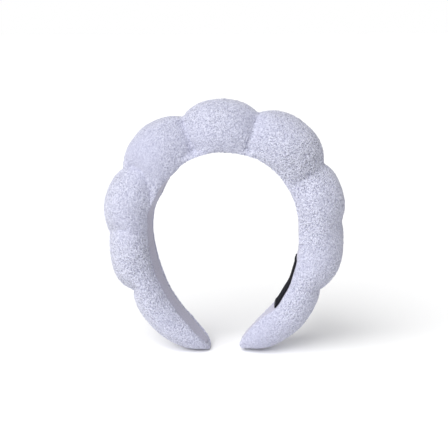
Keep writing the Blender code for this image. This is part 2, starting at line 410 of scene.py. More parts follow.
def add_values(mesh, name, values):
    """Store a number or a vector for each vertex."""
    kind, field = ("FLOAT", "value") if values.ndim == 1 else ("FLOAT_VECTOR", "vector")
    layer = mesh.attributes.new(name, kind, "POINT")
    layer.data.foreach_set(field, values.astype(np.float32).ravel())


def noise_at(points, scale, shift):
    """Smooth noise from about -1 to 1.  The shift picks another stretch of it."""
    place = Vector((shift, shift * 2.0, shift * 3.0))
    return np.array([noise.noise(Vector(point) / scale + place) for point in points])


def roughen(mesh, depth, size, shift):
    """Push the surface out and in by a little smooth noise."""
    push_out(mesh, depth * noise_at(coordinates(mesh), size, shift))


def cells_at(points, scale):
    """0 between neighbouring cells, rising to 1 at their middles."""
    found = np.empty(len(points))
    for index, point in enumerate(points):
        near = noise.voronoi(Vector(point) / scale)[0]
        found[index] = near[1] - near[0]
    return np.clip(found, 0.0, 1.0)


def bake_map(mesh):
    """UV map of the whole piece inside one tile, in place on the cloth."""
    places = read_rows(mesh.uv_layers["cloth"].data, "uv", 2)
    middle = (places.min(axis=0) + places.max(axis=0)) / 2.0
    target = mesh.uv_layers.new(name="OFBake")
    placed = (places - middle) / BAKE_TILE + 0.5
    target.data.foreach_set("uv", placed.astype(np.float32).ravel())


def clean_slots(mesh, material):
    """Give the whole mesh one material, and store its rest places for it."""
    add_values(mesh, "rest", coordinates(mesh))
    mesh.polygons.foreach_set("material_index", [0] * len(mesh.polygons))
    mesh.materials.clear()
    mesh.materials.append(material)


def cut_in_two(whole, base, material):
    """A piece for each arm.  They meet at the crown and are shaded as one surface."""
    mesh = whole.data
    add_values(mesh, "shade", vertex_normals(mesh))
    pieces = []
    for half, (word, _) in enumerate(ARMS):
        name = base + "_" + word
        shape = bmesh.new()
        shape.from_mesh(mesh)
        others = [face for face in shape.faces if face.material_index != half]
        bmesh.ops.delete(shape, geom=others, context="FACES")
        rim = [edge for edge in shape.edges if edge.is_boundary]
        bmesh.ops.holes_fill(shape, edges=rim, sides=0)
        part = bpy.data.meshes.new(name)
        shape.to_mesh(part)
        shape.free()
        normals = read_rows(part.attributes["shade"].data, "vector", 3)
        part.attributes.remove(part.attributes["shade"])
        part.shade_smooth()
        part.normals_split_custom_set_from_vertices(normals)
        bake_map(part)
        clean_slots(part, material)
        pieces.append(new_piece(name, part))
    bpy.data.objects.remove(whole, do_unlink=True)
    return pieces


def finish_piece(piece, material):
    piece.data.shade_smooth()
    bake_map(piece.data)
    clean_slots(piece.data, material)


# ---- materials ----

WAVE_RADIANS = 20.0  # a wave texture turns this far in one unit along an axis


def new_material(name):
    material = bpy.data.materials.new(name)
    material.use_nodes = True
    tree = material.node_tree
    return material, tree, tree.nodes["Principled BSDF"]


def add_node(tree, kind, **settings):
    node = tree.nodes.new(kind)
    for key, value in settings.items():
        if key in node.inputs:
            node.inputs[key].default_value = value
        else:
            setattr(node, key, value)
    return node


def cloth_place(tree):
    """The cloth's own (run, round) coordinates in metres, for weaves."""
    return add_node(tree, "ShaderNodeUVMap", uv_map="cloth").outputs["UV"]


def stored(tree, name):
    """The value stored for each vertex under a name."""
    return add_node(tree, "ShaderNodeAttribute", attribute_name=name).outputs


def rest_place(tree):
    """Where each point is at rest, in metres: the same grain on every side, in any pose."""
    return stored(tree, "rest")["Vector"]


def noise_node(tree, place, size, detail=2.0, roughness=0.5):
    node = add_node(tree, "ShaderNodeTexNoise", Scale=1.0 / size, Detail=detail,
                    Roughness=roughness)
    tree.links.new(place, node.inputs["Vector"])
    return node.outputs["Fac"]


def feed(tree, socket, value):
    """Link another node's output to a socket, or set a number or a colour on it."""
    if isinstance(value, bpy.types.NodeSocket):
        tree.links.new(value, socket)
    else:
        socket.default_value = (*value, 1.0) if isinstance(value, tuple) else value


def mix_colours(tree, share, first, second):
    """Colour from first to second as share goes from 0 to 1."""
    node = add_node(tree, "ShaderNodeMix", data_type="RGBA")
    for place, value in ((0, share), (6, first), (7, second)):
        feed(tree, node.inputs[place], value)
    return node.outputs[2]


def ranged(tree, value, from_low, from_high, to_low=0.0, to_high=1.0):
    node = add_node(tree, "ShaderNodeMapRange")
    tree.links.new(value, node.inputs["Value"])
    for name, number in (("From Min", from_low), ("From Max", from_high),
                         ("To Min", to_low), ("To Max", to_high)):
        node.inputs[name].default_value = number
    return node.outputs["Result"]


def maths(tree, operation, first, second):
    node = add_node(tree, "ShaderNodeMath", operation=operation)
    feed(tree, node.inputs[0], first)
    feed(tree, node.inputs[1], second)
    return node.outputs[0]


def waves(tree, place, direction, radian_length, **settings):
    """Soft bands across the cloth, the wave turning a radian in the length given."""
    node = add_node(tree, "ShaderNodeTexWave", wave_type="BANDS", bands_direction=direction,
                    Scale=1.0 / radian_length / WAVE_RADIANS, **settings)
    tree.links.new(place, node.inputs["Vector"])
    return node.outputs["Fac"]


def cells(tree, place, size, **settings):
    """Distance from the middle of the nearest cell, in cell sizes."""
    node = add_node(tree, "ShaderNodeTexVoronoi", Scale=1.0 / size, **settings)
    tree.links.new(place, node.inputs["Vector"])
    return node.outputs["Distance"]


def add_bump(tree, shader, height, distance, strength=1.0):
    bump = add_node(tree, "ShaderNodeBump", Strength=strength, Distance=distance)
    tree.links.new(height, bump.inputs["Height"])
    tree.links.new(bump.outputs["Normal"], shader.inputs["Normal"])


def connect(tree, shader, colour, roughness, **plain):
    """Link colour and roughness, and set plain values on the other sockets named."""
    tree.links.new(colour, shader.inputs["Base Color"])
    tree.links.new(roughness, shader.inputs["Roughness"])
    for name, value in plain.items():
        shader.inputs[name.replace("_", " ")].default_value = value


def terry_material():
    """Looped towelling: pale loop tips, painted shade in the gaps between loops and clumps, and
    soft sheen.
    """
    material, tree, shader = new_material("lavender_terry")
    place = rest_place(tree)
    pile = stored(tree, "pile")["Fac"]
    loops = noise_node(tree, place, 0.00085, detail=0.5)
    curls = cells(tree, place, 0.0012, feature="SMOOTH_F1", Smoothness=0.2)
    patches = noise_node(tree, place, 0.016, detail=3.0, roughness=0.6)
    rough = stored(tree, "rough")["Fac"]
    fine = maths(tree, "SUBTRACT", loops, maths(tree, "MULTIPLY", curls, 0.5))
    fine = maths(tree, "MULTIPLY", fine, rough)
    depth = maths(tree, "ADD", maths(tree, "MULTIPLY", pile, 0.6), fine)
    # Painted shade: the colour is darker where the pile is low, in the gaps between loops and
    # clumps.
    tone = mix_colours(tree, ranged(tree, depth, 0.14, 0.86), (0.31, 0.315, 0.435),
                       (0.68, 0.69, 0.82))
    shade = ranged(tree, patches, 0.3, 0.7, 0.0, 0.16)
    colour = mix_colours(tree, shade, tone, (0.62, 0.64, 0.80))
    connect(tree, shader, colour, ranged(tree, depth, 0.2, 0.8, 1.0, 0.85),
            Sheen_Weight=0.45, Sheen_Roughness=0.5, Specular_IOR_Level=0.1)
    add_bump(tree, shader, fine, 0.0010, 0.9)
    return material


def lining_material():
    """Shorter looped lining: a close nap over the soft ribs of its ground."""
    material, tree, shader = new_material("lavender_lining")
    place = cloth_place(tree)
    nap = noise_node(tree, place, 0.0010, detail=2.0, roughness=0.7)
    patches = noise_node(tree, place, 0.009, detail=2.0)
    ribs = waves(tree, place, "Y", 0.0009, Distortion=0.6, Detail=1.0)
    height = maths(tree, "ADD", nap, maths(tree, "MULTIPLY", ribs, 0.4))
    tone = mix_colours(tree, ranged(tree, nap, 0.3, 0.7), (0.34, 0.33, 0.415), (0.56, 0.55, 0.665))
    colour = mix_colours(tree, maths(tree, "MULTIPLY", patches, 0.3), tone, (0.44, 0.43, 0.54))
    connect(tree, shader, colour, ranged(tree, height, 0.0, 1.4, 0.95, 0.8),
            Sheen_Weight=0.2, Sheen_Roughness=0.5, Specular_IOR_Level=0.2)
    add_bump(tree, shader, height, 0.0002, 0.6)
    return material


def thread_material(name, dark, light):
    """Twisted sewing thread."""
    material, tree, shader = new_material(name)
    plies = waves(tree, cloth_place(tree), "DIAGONAL", 0.0011)
    colour = mix_colours(tree, plies, dark, light)
    connect(tree, shader, colour, ranged(tree, plies, 0.0, 1.0, 0.7, 0.5), Sheen_Weight=0.1)
    add_bump(tree, shader, plies, 0.0001)
    return material


def sponge_material():
    """Open-cell foam: cream, with painted shade in its pores."""
    material, tree, shader = new_material("open_cell_foam")
    place = rest_place(tree)
    pores = cells(tree, place, 0.0011, feature="F1")
    depth = ranged(tree, pores, 0.1, 0.7, 1.0, 0.0)
    patches = noise_node(tree, place, 0.01)
    tone = mix_colours(tree, patches, (0.80, 0.78, 0.72), (0.86, 0.85, 0.81))
    # Painted shade: darker towards the middle of each pore.
    colour = mix_colours(tree, maths(tree, "MULTIPLY", depth, 0.5), tone, (0.50, 0.47, 0.41))
    connect(tree, shader, colour, ranged(tree, depth, 0.0, 1.0, 0.85, 1.0))
    add_bump(tree, shader, pores, 0.0005)
    return material


def hoop_material():
    """Moulded white plastic with a satin skin."""
    material, tree, shader = new_material("satin_plastic")
    place = rest_place(tree)
    skin = noise_node(tree, place, 0.0007, detail=3.0)
    flow = noise_node(tree, place, 0.03)
    colour = mix_colours(tree, flow, (0.70, 0.72, 0.75), (0.78, 0.79, 0.81))
    connect(tree, shader, colour, ranged(tree, skin, 0.3, 0.7, 0.3, 0.42))
    add_bump(tree, shader, skin, 0.00003)
    return material


def label_material():
    """Black woven tape with soft ribs both ways."""
    material, tree, shader = new_material("black_woven_label")
    place = cloth_place(tree)
    height = maths(tree, "MULTIPLY", waves(tree, place, "X", 0.0005, Distortion=0.3),
                   waves(tree, place, "Y", 0.00035, Distortion=0.3))
    wear = noise_node(tree, place, 0.004, detail=3.0)
    tone = mix_colours(tree, height, (0.004, 0.004, 0.007), (0.013, 0.013, 0.020))
    colour = mix_colours(tree, maths(tree, "MULTIPLY", wear, 0.3), tone, (0.017, 0.017, 0.025))
    connect(tree, shader, colour, ranged(tree, height, 0.0, 1.0, 0.85, 0.65),
            Specular_IOR_Level=0.03)
    add_bump(tree, shader, height, 0.0001)
    return material


def floor_material():
    material, tree, shader = new_material("pale_floor")
    place = add_node(tree, "ShaderNodeTexCoord").outputs["Object"]
    grain = noise_node(tree, place, 0.3)
    colour = mix_colours(tree, grain, (0.97, 0.97, 0.97), (0.99, 0.99, 0.99))
    tree.links.new(colour, shader.inputs["Base Color"])
    shader.inputs["Roughness"].default_value = 0.9
    shader.inputs["Specular IOR Level"].default_value = 0.0
    return material


TERRY = terry_material()
LINING_CLOTH = lining_material()
THREAD = thread_material("lavender_thread", (0.42, 0.42, 0.56), (0.56, 0.56, 0.70))
LABEL_THREAD = thread_material("black_thread", (0.012, 0.012, 0.016), (0.03, 0.03, 0.04))
FOAM = sponge_material()
PLASTIC = hoop_material()
LABEL_WEAVE = label_material()


# ---- the terry cover ----

COVER_PITCH = 0.0023
COVER_ARCH_STEPS = 44
COVER_CROWD = 0.4
NOSE_SHARES = (0.0, 0.18, 0.34, 0.48, 0.6, 0.7, 0.79, 0.87, 0.94, 0.98, 1.0)

# Cloth simulation, at ten times the size so that Blender's solver is in its usual range
CLOTH_SCALE = 10.0
CLOTH_FRAMES = 16
CLOTH_PRESSURE = 60.0
CLOTH_MASS = 0.1
CLOTH_STIFFNESS = 12.0
CLOTH_CAP = 0.004
CLOTH_BENDING = 0.02
CLOTH_QUALITY = 5
GATHERED_EXCESS = 0.0035  # how much wider the cloth was cut than a gather leaves it
EXCESS_REACH = 0.010
HELD_TIP = 0.006
PLEAT_DEPTH = 0.0003
PLEAT_LENGTH = 0.0075
PLEAT_WANDER = 0.02  # size of the noise that shifts the pleats
ARCH_GIRTH = 0.1  # about how much cloth goes over a puff, front to back
START_INSET = 0.0004
# The edge turned in under the lining: rise, how far inside the edge of the inner face
TURNED_EDGE = ((-0.0003, 0.0011), (0.0001, 0.0020), (0.0009, 0.0027), (0.00117, 0.0040))
HIDDEN_SHARE = 0.33  # where the strip that closes the ring under the lining is divided
BEFORE_ARCH = 1 + len(TURNED_EDGE)  # places in a ring before those of the arch

# The creases, left tip to right tip: gather run, how far the front and back are drawn
# in, how far down from the crest that reaches (share of the height), and how far the
# crease leans towards the crown half way down the front and at the inner edge
CREASES = (
    (-LEFT_GATHERS[3], 0.0006, 0.40, 0.0040, 0.0020),
    (-LEFT_GATHERS[2], 0.0016, 0.55, 0.0045, 0.0030),
    (-LEFT_GATHERS[1], 0.0036, 1.20, 0.0060, -0.0110),
    (-LEFT_GATHERS[0], 0.0082, 1.20, 0.0, 0.0),
    (RIGHT_GATHERS[0], 0.0048, 1.20, 0.0, 0.0),
    (RIGHT_GATHERS[1], 0.0022, 0.85, 0.0, 0.0),
    (RIGHT_GATHERS[2], 0.0006, 0.30, 0.0, 0.0),
    (RIGHT_GATHERS[3], 0.0004, 0.30, 0.0, 0.0),
)
# Dents left in the front by hand: run, share of the height down from the crest, reach
# along the band, reach down (share), depth
DENTS = (
    (-0.0885, 0.36, 0.0040, 0.10, 0.0014),
    (-0.0660, 0.30, 0.0030, 0.10, 0.0008),
)
CREASE_REACH = 0.009
CREASE_FADE = 0.30
CREASE_FOOT = 0.15  # share of the height over which a crease starts
CREASE_HEAD = 0.18  # and over which it ends, at the crest
LEAN_REACH = 0.018
LEAN_SIDE = 0.010  # how far from the middle plane a crease leans in full
GATHER_RUNS = [crease[0] for crease in CREASES]


def cover_runs():
    """Runs of the cover's sections, crowded beside each gather and in each nose."""
    body_end = TIP_RUN - NOSE_LENGTH
    runs = []
    for start, end, *_ in PUFFS:
        low = max(start, -body_end)
        high = min(end, body_end)
        runs += spread_runs(low, high, COVER_PITCH, COVER_CROWD)[1:]
    middle = min(range(len(runs)), key=lambda index: abs(runs[index]))
    runs[middle] = 0.0
    ends = [body_end + NOSE_LENGTH * share for share in NOSE_SHARES]
    return [-run for run in reversed(ends)] + runs[:-1] + ends


def lean_at(run, rise, side):
    """How far along the band a leaning crease takes a place on the front."""
    down = max(0.0, min(1.0, 1.0 - rise / section(run)[0]))
    on_front = smooth_step(-side / LEAN_SIDE)
    moved = 0.0
    for gather, _, _, middle, edge in CREASES:
        lean = middle * 4.0 * down * (1.0 - down) + edge * down * (2.0 * down - 1.0)
        moved += lean * on_front * nearness(run, gather, LEAN_REACH)
    return moved if run < 0.0 else -moved


def crease_left(span, down):
    """Share left at a share down from the crest, of a crease that reaches to span."""
    return smooth_step(0.5 + (span - down) / CREASE_FADE)


def gathered(run, down):
    """Share of the nearest gather's pinch left at a share down from the crest."""
    span = min(CREASES, key=lambda crease: abs(run - crease[0]))[2]
    return crease_left(span, down)


def creased_arch(run, steps, inset, floor=0.0):
    """The places over the puff, pinched by a gather as far down as its crease reaches."""
    tight = arch(section(run), steps, inset, floor)
    loose = arch(let_out_section(run), steps, inset, floor)
    height = section(run)[0]
    places = []
    for (rise, side), (loose_rise, loose_side) in zip(tight, loose):
        share = max(0.0, min(1.0, rise / height))
        down = 1.0 - share
        let_out = 1.0 - gathered(run, down)
        rise += (loose_rise - rise) * let_out
        side += (loose_side - side) * let_out
        ends = smooth_step(share / CREASE_FOOT) * smooth_step(down / CREASE_HEAD)
        drawn_in = 0.0
        for gather, deep, span, *_ in CREASES:
            near = math.exp(-abs(run - gather) / CREASE_REACH)
            drawn_in += deep * crease_left(span, down) * ends * near
        if side < 0.0:
            for middle, height_share, along, across, deep in DENTS:
                away = ((run - middle) / along) ** 2 + ((down - height_share) / across) ** 2
                drawn_in += deep * math.exp(-away)
        places.append((rise, side - math.copysign(min(abs(side), drawn_in), side)))
    return places


def cover_ring(run):
    """One section, from under the lining, where the UV seam is hidden, round the front."""
    face = section(run)[2]
    back = [(rise, face - inside) for rise, inside in TURNED_EDGE]
    front = [(rise, -side) for rise, side in reversed(back)]
    rise, side = back[-1]
    near_back, near_front = [(rise, side * share) for share in (HIDDEN_SHARE, -HIDDEN_SHARE)]
    over = creased_arch(run, COVER_ARCH_STEPS, START_INSET)
    return into_nose(run, [near_front] + front + over + back + [near_back])


def cover_points(runs):
    """A ring of world points for each run, leaning with the creases."""
    return np.array([[band_point(run + lean_at(run, *place), *place)
                      for place in cover_ring(run)] for run in runs])


def inflate(cover, runs, around):
    """Let the cut cloth swell and pucker between its stitched-down lines."""
    mesh = cover.data
    count = (len(runs) - 2) * around
    row = np.arange(count) // around + 1
    column = (np.arange(count) % around - BEFORE_ARCH) % around
    run = np.array(runs)[row]
    nearest = np.abs(run[:, None] - np.array(GATHER_RUNS)[None]).min(axis=1)
    on_arch = (column > 0) & (column < COVER_ARCH_STEPS)
    height = np.sin(math.pi * column / COVER_ARCH_STEPS)
    pinch = np.array([gathered(place, 1.0 - share) for place, share in zip(run, height)])
    at_gather = on_arch & (nearest < 1e-6) & (pinch > 0.5)
    start = coordinates(mesh)
    normals = vertex_normals(mesh)
    # Pleats along each gather line, a little uneven
    round_arch = column * (ARCH_GIRTH / COVER_ARCH_STEPS)
    wave = np.sin(2.0 * math.pi * round_arch / PLEAT_LENGTH
                  + 2.0 * noise_at(start[:count], PLEAT_WANDER, 1.0))
    start[:count] += normals[:count] * (at_gather * PLEAT_DEPTH * wave)[:, None]
    cut = start.copy()
    excess = GATHERED_EXCESS * np.exp(-(nearest / EXCESS_REACH) ** 2) * on_arch * pinch
    cut[:count] += normals[:count] * excess[:, None]
    write_points(mesh.vertices, start * CLOTH_SCALE)
    cover.shape_key_add(name="Start")
    write_points(cover.shape_key_add(name="Cut").data, cut * CLOTH_SCALE)
    held = cover.vertex_groups.new(name="held")
    free = on_arch & ~at_gather & (np.abs(run) < TIP_RUN - HELD_TIP)
    held.add([int(index) for index in np.flatnonzero(~free)] + [count, count + 1], 1.0,
             "REPLACE")
    cloth = cover.modifiers.new("Cloth", "CLOTH")
    settings = cloth.settings
    settings.quality = CLOTH_QUALITY
    settings.mass = CLOTH_MASS
    settings.tension_stiffness = CLOTH_STIFFNESS
    settings.compression_stiffness = CLOTH_STIFFNESS
    settings.shear_stiffness = CLOTH_STIFFNESS / 3.0
    settings.bending_stiffness = CLOTH_BENDING
    settings.use_pressure = True
    settings.uniform_pressure_force = CLOTH_PRESSURE
    settings.vertex_group_mass = "held"
    settings.effector_weights.gravity = 0.0
    settings.rest_shape_key = mesh.shape_keys.key_blocks["Cut"]
    cloth.collision_settings.use_collision = False
    cloth.point_cache.frame_start = 1
    cloth.point_cache.frame_end = CLOTH_FRAMES
    scene = bpy.context.scene
    for frame_number in range(1, CLOTH_FRAMES + 1):
        scene.frame_set(frame_number)
    settle(cover)
    scene.frame_set(1)
    moved = coordinates(cover.data) / CLOTH_SCALE - start
    far = np.linalg.norm(moved, axis=1)
    moved *= np.minimum(1.0, CLOTH_CAP / np.maximum(far, 1e-9))[:, None]
    write_points(cover.data.vertices, start + moved)
    cover.data.update()


def make_cover():
    runs = cover_runs()
    points = cover_points(runs)
    cover = new_piece("terry_cover_whole", tube_mesh("terry_cover_whole", points, runs, True))
    inflate(cover, runs, points.shape[1])
    subdivide(cover, 2)
    add_pile(cover.data)
    pieces = cut_in_two(cover, "terry_cover", TERRY)
    for piece, (word, gather) in zip(pieces, ARMS):
        flex_ends(gather)
        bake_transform(piece)
        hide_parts("terry_cover")


# Where the loops on the front have been stroked flat, or up where the share is negative:
# run, reach, share flattened
BRUSHED_FLAT = ((-0.116, 0.026, -0.45), (-0.085, 0.020, 0.20), (-0.046, 0.024, 0.65),
                (-0.010, 0.016, 0.22), (0.023, 0.012, 0.25), (0.047, 0.021, -0.50),
                (0.184, 0.024, 0.58))
BRUSHED_RISE = 0.018
BRUSHED_SIDE = -0.012
CLUMP_SIZE = 0.0021
CLUMP_SHARE = 0.55
LOOP_SIZE = 0.0012
LOOP_SHARE = 0.45
PILE_BASE = 0.25
PILE_DEPTH = 0.0008
LUMP_SIZE = 0.013
LUMP_DEPTH = 0.0005
ROUGHNESS = 1.14  # how much the pile stands up: overall, and how far it varies
ROUGHNESS_RANGE = 0.7
ROUGHNESS_SIZE = 0.024
ROUGHNESS_SHIFT = 1400.08  # rough and calm stretches about where the real band has them


def add_pile(mesh):
    """Lumps of stuffing, clumps of loops and loose loop ends, with the pile stored for the painted
    shade in the gaps.
    """
    points = coordinates(mesh)
    clumps = cells_at(points, CLUMP_SIZE)
    loops = noise_at(points, LOOP_SIZE, 3.0)
    lumps = noise_at(points, LUMP_SIZE, 7.0)
    rough = ROUGHNESS + ROUGHNESS_RANGE * noise_at(points, ROUGHNESS_SIZE, ROUGHNESS_SHIFT)
    for run, reach, flattened in BRUSHED_FLAT:
        middle = np.array(band_point(run, BRUSHED_RISE, BRUSHED_SIDE))
        away = np.linalg.norm(points - middle, axis=1) / reach
        rough *= 1.0 - flattened * np.exp(-away ** 2)
    pile = np.clip(CLUMP_SHARE * np.sqrt(clumps) + PILE_BASE + LOOP_SHARE * loops, 0.0, 1.0)
    push_out(mesh, PILE_DEPTH * (pile - 0.5) * rough + LUMP_DEPTH * lumps)
    # The terry's colour is darker where this is low, as painted shade in the gaps; rougher places
    # get deeper painted shade.
    add_values(mesh, "pile", 0.5 + (pile - 0.5) * rough)
    add_values(mesh, "rough", rough)


make_cover()


# ---- lining, hoop and threads ----

LINING_BULGE = 0.0005
LINING_PITCH = 0.0032
LINING_EDGE_ROOM = 0.0027  # left free on each side
LINING_NARROWED = 0.5  # the room is kept till the nose has narrowed the face to this share
LINING_PUCKERS = (0.00012, 0.007)  # depth, size


def lining_half_width(run):
    """Half width of the lining, before the nose draws it in."""
    return section(run)[2] - LINING_EDGE_ROOM / max(nose(run), LINING_NARROWED)


def lining_ring(run):
    """One section, from the middle of the hoop side, where the UV seam is hidden."""
    half = lining_half_width(run)
    wearer = [(0.00095, 1.0), (0.0003, 0.95), (-0.0001, 0.84), (-0.8 * LINING_BULGE, 0.5),
              (-LINING_BULGE, 0.0)]
    out = [(rise, share * half) for rise, share in wearer]
    back = [(rise, -side) for rise, side in reversed(out[:-1])]
    inner = [(LINING_THICKNESS, share * half) for share in (-0.9, -0.45, 0.0, 0.45, 0.9)]
    return into_nose(run, inner[2:] + out + back + inner[:2])


def lining_cut(hand):
    """Flat size and area of one half of the lining, before it is sewn down."""
    runs = spread_runs(0.0, FACE_HALF_RUN, LINING_PITCH)
    widths = [2.0 * lining_half_width(hand * run) for run in runs]
    area = sum(widths) / len(widths) * FACE_HALF_RUN
    return (max(widths), FACE_HALF_RUN), area


def make_lining():
    runs = spread_runs(-FACE_HALF_RUN, FACE_HALF_RUN, LINING_PITCH)
    runs[len(runs) // 2] = 0.0
    rings = [lining_ring(run) for run in runs]
    lining = new_piece("lining_whole", ring_mesh("lining_whole", runs, rings))
    subdivide(lining, 2)
    roughen(lining.data, *LINING_PUCKERS, 2.0)
    pieces = cut_in_two(lining, "inner_lining", LINING_CLOTH)
    for piece, (word, gather) in zip(pieces, ARMS):
        flex_ends(gather)
        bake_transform(piece)
        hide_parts("inner_lining")
        flat, area = lining_cut(math.copysign(1.0, gather))


HOOP_PITCH = 0.004
HOOP_CROWD = 0.6
HOOP_SOFTENING = (0.0004, 0.0005)  # rise and side that each corner is cut back by
HOOP_END = 0.12  # square of the share of the half width left at the ends


def hoop_ring(run):
    """Rounded bar section, narrowed to round ends."""
    into_corner = max(0.0, 1.0 - (HOOP_HALF_RUN - abs(run)) / HOOP_HALF_WIDTH)
    half = HOOP_HALF_WIDTH * math.sqrt(max(HOOP_END, 1.0 - into_corner ** 2))
    bottom = HOOP_RISE
    top = HOOP_RISE + HOOP_THICKNESS
    low, high = bottom + HOOP_SOFTENING[0], top - HOOP_SOFTENING[0]
    shoulder = half - HOOP_SOFTENING[1]
    return [(top, 0.0), (top, shoulder), (high, half), (low, half), (bottom, shoulder),
            (bottom, 0.0), (bottom, -shoulder), (low, -half), (high, -half), (top, -shoulder)]


def make_hoop():
    runs = spread_runs(-HOOP_HALF_RUN, HOOP_HALF_RUN, HOOP_PITCH, HOOP_CROWD)
    runs[len(runs) // 2] = 0.0
    rings = [hoop_ring(run) for run in runs]
    hoop = new_piece("hoop_whole", ring_mesh("hoop_whole", runs, rings))
    subdivide(hoop, 1)
    pieces = cut_in_two(hoop, "hoop", PLASTIC)
    for piece, (word, gather) in zip(pieces, ARMS):
        flex_ends(gather)
        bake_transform(piece)
        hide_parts("hoop_band")


THREAD_SIDES = 8
THREAD_END = 0.55  # share of the radius at each end
THREAD_GUIDE = Vector((0.3, 0.2, 1.0))  # no thread runs this way
# A stitch from end to end: share of its length, how far it dips
STITCH_DIPS = ((0.0, 0.0005), (0.15, 0.00015), (0.5, 0.0), (0.85, 0.00015), (1.0, 0.0005))


def thread_piece(name, paths, radius, material):
    """Round threads along lists of world points, with tapered ends, as one piece."""
    shape = bmesh.new()
    uv_map = shape.loops.layers.uv.new("cloth")
    for path in paths:
        length = 0.0
        rows = []
        for index, point in enumerate(path):
            before = path[max(index - 1, 0)]
            after = path[min(index + 1, len(path) - 1)]
            along = (after - before).normalized()
            across = along.cross(THREAD_GUIDE).normalized()
            up = along.cross(across)
            length += (point - before).length
            tapered = radius * (THREAD_END if index in (0, len(path) - 1) else 1.0)
            row = []
            for side in range(THREAD_SIDES):
                angle = 2.0 * math.pi * side / THREAD_SIDES
                spot = point + (across * math.cos(angle) + up * math.sin(angle)) * tapered
                row.append(shape.verts.new(spot))
            rows.append((row, length))
        for (row, near), (following, far) in zip(rows, rows[1:]):
            for side in range(THREAD_SIDES):
                after = (side + 1) % THREAD_SIDES
                face = shape.faces.new((row[side], row[after], following[after],
                                        following[side]))
                for loop, along_path, turn in zip(face.loops, (near, near, far, far),
                                                  (side, side + 1, side + 1, side)):
                    round_path = turn * 2.0 * math.pi * radius / THREAD_SIDES
                    loop[uv_map].uv = (along_path, round_path)
        shape.faces.new(rows[0][0][::-1])
        shape.faces.new(rows[-1][0])
    bmesh.ops.recalc_face_normals(shape, faces=shape.faces)
    mesh = bpy.data.meshes.new(name)
    shape.to_mesh(mesh)
    shape.free()
    piece = new_piece(name, mesh)
    finish_piece(piece, material)
    return piece


def stitch_run_paths(first, last, pitch, length, place_at):
    """Short running stitches from first to last; place_at gives a point at a run."""
    paths = []
    count = int(abs(last - first) / pitch)
    for index in range(count):
        start = first + (last - first) * (index + 0.5 - 0.5 * length / pitch) / count
        end = first + (last - first) * (index + 0.5 + 0.5 * length / pitch) / count
        paths.append([place_at(start + (end - start) * share, dip)
                      for share, dip in STITCH_DIPS])
    return paths


SEAM_RISE = 0.00045
SEAM_INSET = 0.0026
SEAM_END_ROOM = 0.002
SEAM_STITCHES = (0.0031, 0.0022)  # pitch, length
SEAM_RADIUS = 0.0003


def make_edge_seams():
    """Running stitches in the groove between the cover and the lining."""
    for name, hand in (("front", -1.0), ("back", 1.0)):
        def groove(run, dip):
            face = section(run)[2]
            place = into_nose(run, [(SEAM_RISE + dip, hand * (face - SEAM_INSET))])[0]
            return band_point(run, *place)

        for word, gather in ARMS:
            end = math.copysign(FACE_HALF_RUN - SEAM_END_ROOM, gather)
            paths = stitch_run_paths(0.0, end, *SEAM_STITCHES, groove)
            piece = thread_piece(f"edge_seam_{name}_{word}", paths, SEAM_RADIUS, THREAD)
            flex_ends(gather)
            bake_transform(piece)
            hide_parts("edge_seam_" + name)


GATHER_SINK = 0.0013
GATHER_STEPS = 40
GATHER_SHORT = 8  # steps left off at each end
GATHER_RADIUS = 0.00045


def make_gather_threads():
    """The threads that pull the gathers in, sunk in the pile."""
    for word, hand, gathers in (("left", -1.0, LEFT_GATHERS), ("right", 1.0, RIGHT_GATHERS)):
        for number, gather in enumerate(gathers, start=1):
            run = hand * gather
            places = into_nose(run, creased_arch(run, GATHER_STEPS, GATHER_SINK))
            places = places[GATHER_SHORT:-GATHER_SHORT]
            points = [band_point(run + lean_at(run, *place), *place) for place in places]
            name = f"gather_thread_{word}_{number}"
            piece = thread_piece(name + "_sunk", [points], GATHER_RADIUS, THREAD)
            if number == 1:
                flex_ends(run)
                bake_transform(piece)
            else:
                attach(piece, word + "_arm")
            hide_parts(name)


make_lining()
make_hoop()
make_edge_seams()
make_gather_threads()


# ---- the sponges ----

SPONGE_ARCH_STEPS = 22
SPONGE_STEPS = 10
SPONGE_END_SHARE = 0.12  # share of the length over which an end is rounded
SPONGE_ROUNDING = 0.0025
SPONGE_GRAIN = (0.0002, 0.004)  # depth, size


def sponge_gap(run, rise):
    """Room left free beside a sponge block at one of its ends."""
    if abs(run) == TIP_RUN:
        return SPONGE_TIP_GAP
    hinged = run in (-LEFT_GATHERS[0], RIGHT_GATHERS[0])
    angle = HINGE_GAP_ANGLE if hinged else PLAIN_GAP_ANGLE
    return SPONGE_END_GAP + math.tan(angle) * rise


def make_sponge(name, node, start, end, body, hinge):
    """One foam block with softened ends."""
    body_end = TIP_RUN - SPONGE_TIP_GAP
    runs = []
    rows = []
    for index in range(SPONGE_STEPS + 1):
        share = index / SPONGE_STEPS
        run = max(-body_end, min(body_end, start + (end - start) * share))
        into_end = max(0.0, 1.0 - min(share, 1.0 - share) / SPONGE_END_SHARE)
        inset = SPONGE_INSET + SPONGE_ROUNDING * into_end ** 2
        places = creased_arch(run, SPONGE_ARCH_STEPS, inset, SPONGE_RISE)
        places += [(SPONGE_RISE, side * 0.5) for side in (places[-1][1], 0.0, places[0][1])]
        row = []
        for rise, side in into_nose(run, places):
            rise = max(rise, SPONGE_RISE)
            first = start + sponge_gap(start, rise)
            last = end - sponge_gap(end, rise)
            placed = first + (last - first) * share
            row.append(band_point(placed + lean_at(placed, rise, side), rise, side))
        rows.append(row)
        runs.append(run)
    piece = new_piece(name, tube_mesh(name, np.array(rows), runs))
    subdivide(piece, 1)
    depth, size = SPONGE_GRAIN
    push_out(piece.data, depth * noise_at(coordinates(piece.data), size, 5.0) - depth / 2.0)
    finish_piece(piece, FOAM)
    if hinge is None:
        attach(piece, body)
    else:
        flex_ends(hinge)
        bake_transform(piece)
    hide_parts(node)


